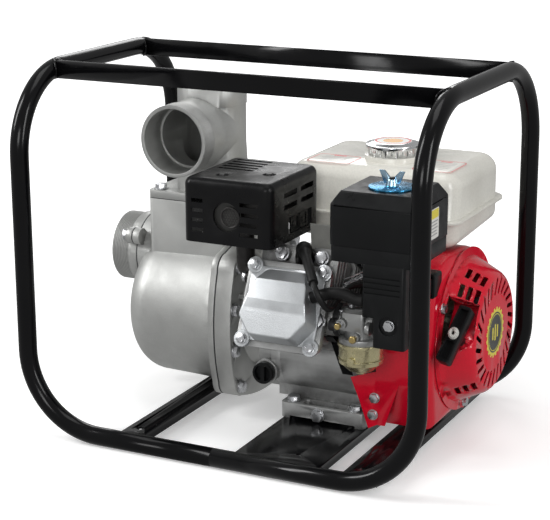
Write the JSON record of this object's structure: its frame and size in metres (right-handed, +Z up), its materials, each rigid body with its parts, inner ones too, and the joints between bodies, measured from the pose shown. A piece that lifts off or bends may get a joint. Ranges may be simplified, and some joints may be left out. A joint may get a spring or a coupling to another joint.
{
  "type": "gas engine water pump",
  "caption": "Petrol-engine centrifugal water pump in an open tube frame, with threaded side suction port, top discharge elbow, recoil starter, fuel tank and slotted muffler guard.",
  "frame": {"origin": "centre of the frame's footprint, on the ground under the frame tubes", "axes": "+X along the crankshaft from the pump to the recoil starter, +Y from the cylinder and discharge side to the fuel tank side, +Z up"},
  "size_m": [0.522, 0.382, 0.446],
  "materials": {
    "frame_paint": "gloss black enamel",
    "cast_alloy": "sand-cast, matt",
    "engine_alloy": "die-cast, satin",
    "bright_alloy": "bright lacquered pressing",
    "zinc_steel": "zinc plated",
    "black_enamel": "heat-resistant satin black",
    "muffler_steel": "heat-dulled dark steel",
    "black_plastic": "satin moulded",
    "black_rubber": "matt",
    "red_paint": "gloss enamel",
    "cream_paint": "gloss enamel",
    "cap_steel": "bright plated",
    "gasket_fibre": "compressed fibre",
    "grey_iron": "cast with machined faces",
    "machined_steel": "machined, oiled",
    "zinc_alloy": "die-cast, satin",
    "gold_plate": "yellow passivated",
    "ceramic": "glazed",
    "filter_foam": "oiled foam",
    "reel_plastic": "moulded",
    "rope_fibre": "braided cord"
  },
  "bodies": {
    "pump_set": {"air_cleaner_base": "black_plastic", "air_cleaner_cover": "black_plastic", "air_filter": "filter_foam", "base_channel_left": "frame_paint", "base_channel_right": "frame_paint", "base_plate_center": "frame_paint", "breather_hose": "black_rubber", "carburettor": "zinc_alloy", "connecting_rod": "engine_alloy", "cover_bolts": "zinc_steel", "crankcase": "engine_alloy", "cylinder_head": "engine_alloy", "discharge_elbow": "cast_alloy", "engine_bolts": "zinc_steel", "fan_cover": "red_paint", "float_bowl": "gold_plate", "frame_top_rails": "frame_paint", "frame_tube_left": "frame_paint", "frame_tube_right": "frame_paint", "fuel_tank": "cream_paint", "ignition_coil": "black_plastic", "ignition_lead": "black_rubber", "main_bearings": "machined_steel", "muffler": "muffler_steel", "muffler_guard": "black_enamel", "piston": "engine_alloy", "pump_bolts": "zinc_steel", "pump_casing": "cast_alloy", "pump_gaskets": "gasket_fibre", "pump_rear_cover": "cast_alloy", "recoil_cover": "red_paint", "recoil_spring": "machined_steel", "rocker_gear": "machined_steel", "shaft_seal": "machined_steel", "side_cover": "engine_alloy", "spark_plug": "ceramic", "spark_plug_cap": "black_rubber", "suction_port": "cast_alloy", "switch_housing": "black_plastic", "valve_cover": "bright_alloy", "valves": "machined_steel", "volute": "grey_iron"},
    "crank_assembly": {"crankshaft": "machined_steel", "flywheel": "grey_iron", "starter_cup": "machined_steel", "impeller": "grey_iron"},
    "cam": {"camshaft": "machined_steel"},
    "flap": {"check_valve_flap": "black_rubber"},
    "priming_plug": {"priming_cap": "black_plastic"},
    "filler_plug": {"oil_filler_cap": "black_plastic"},
    "tank_cap": {"fuel_cap": "cap_steel"},
    "cleaner_nut": {"wing_nut": "zinc_steel"},
    "throttle": {"throttle_lever": "zinc_steel"},
    "choke": {"choke_lever": "black_plastic"},
    "fuel_tap": {"fuel_tap_lever": "zinc_steel"},
    "speed_control": {"speed_lever": "zinc_steel"},
    "switch": {"switch_rocker": "black_plastic"},
    "reel": {"starter_reel": "reel_plastic"},
    "pull_handle": {"starter_handle": "black_plastic", "starter_rope": "rope_fibre"}
  },
  "joints": [
    {"name": "crank_spin", "type": "hinge", "parent": "pump_set", "child": "crank_assembly", "pos_m": [0, 0.05, 0.131], "axis": [1, 0, 0], "continuous": true},
    {"name": "cam_spin", "type": "hinge", "parent": "pump_set", "child": "cam", "pos_m": [0, 0.00085, 0.09659], "axis": [1, 0, 0], "continuous": true},
    {"name": "starter_pull", "type": "slide", "parent": "pump_set", "child": "pull_handle", "axis": [0.3219, -0.7574, 0.568], "range_m": [0, 0.5], "stiffness_N_per_m": 30, "springref_m": -0.3, "deforming": ["starter_rope"]},
    {"name": "reel_spin", "type": "hinge", "parent": "pump_set", "child": "reel", "pos_m": [0.238, 0.05, 0.131], "axis": [-1, 0, 0], "range_deg": [0, 780]},
    {"name": "throttle_turn", "type": "hinge", "parent": "pump_set", "child": "throttle", "pos_m": [0.1385, -0.103, 0.18], "axis": [0, 0, 1], "range_deg": [0, 75]},
    {"name": "choke_turn", "type": "hinge", "parent": "pump_set", "child": "choke", "pos_m": [0.1605, -0.103, 0.18], "axis": [0, 0, 1], "range_deg": [0, 70]},
    {"name": "fuel_tap_turn", "type": "hinge", "parent": "pump_set", "child": "fuel_tap", "pos_m": [0.1505, -0.068, 0.142], "axis": [0, 1, 0], "range_deg": [0, 40]},
    {"name": "speed_turn", "type": "hinge", "parent": "pump_set", "child": "speed_control", "pos_m": [0.131, -0.022, 0.22], "axis": [0, 0, 1], "range_deg": [0, 60]},
    {"name": "switch_tip", "type": "hinge", "parent": "pump_set", "child": "switch", "pos_m": [0.215, -0.0635, 0.213], "axis": [-1, 0, 0], "range_deg": [0, 20]},
    {"name": "fuel_cap_turn", "type": "hinge", "parent": "pump_set", "child": "tank_cap", "pos_m": [0.11, 0.082, 0.33], "axis": [0, 0, 1], "range_deg": [0, 90]},
    {"name": "priming_cap_turn", "type": "hinge", "parent": "pump_set", "child": "priming_plug", "pos_m": [-0.12, 0.051, 0.395], "axis": [0, 0, 1], "continuous": true},
    {"name": "wing_nut_turn", "type": "hinge", "parent": "pump_set", "child": "cleaner_nut", "pos_m": [0.183, -0.097, 0.335], "axis": [0, 0, 1], "continuous": true},
    {"name": "filler_cap_turn", "type": "hinge", "parent": "pump_set", "child": "filler_plug", "pos_m": [0.004, -0.05, 0.076], "axis": [0, -1, 0], "continuous": true},
    {"name": "flap_swing", "type": "hinge", "parent": "pump_set", "child": "flap", "pos_m": [-0.203, 0.051, 0.216], "axis": [0, -1, 0], "range_deg": [0, 35]}
  ],
  "couplings": [
    {"joint": "cam_spin", "follows": "crank_spin", "ratio": -0.5},
    {"joint": "reel_spin", "follows": "starter_pull", "rad_per_m": 27.17}
  ]
}
